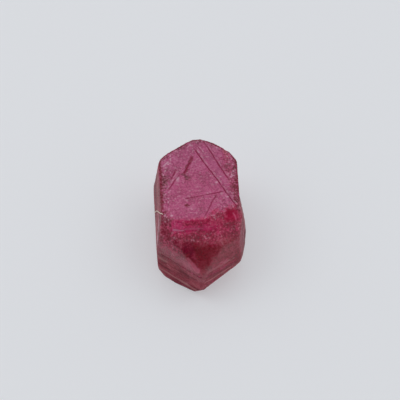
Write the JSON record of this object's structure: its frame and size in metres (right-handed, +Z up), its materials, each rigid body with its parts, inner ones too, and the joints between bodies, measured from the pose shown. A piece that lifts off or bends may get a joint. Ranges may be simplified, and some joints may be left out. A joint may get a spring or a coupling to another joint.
{
  "type": "raw ruby crystal",
  "caption": "Uncut ruby crystal: a stout six-sided prism with a flat frosted top, a stepped ledge to a pointed front, and finely lined sides, resting on its broken base.",
  "frame": {"origin": "on the resting plane, under the middle of the crystal's box", "axes": "+Z up, square to the flat top face; +Y along the crystal's length, away from its front point; +X to the right seen from the front"},
  "size_m": [0.0091, 0.0148, 0.0068],
  "materials": {
    "ruby": "frosted, translucent pinkish red corundum, with smooth dark red broken faces"
  },
  "bodies": {
    "root": {"ruby_crystal": "ruby"}
  },
  "joints": []
}
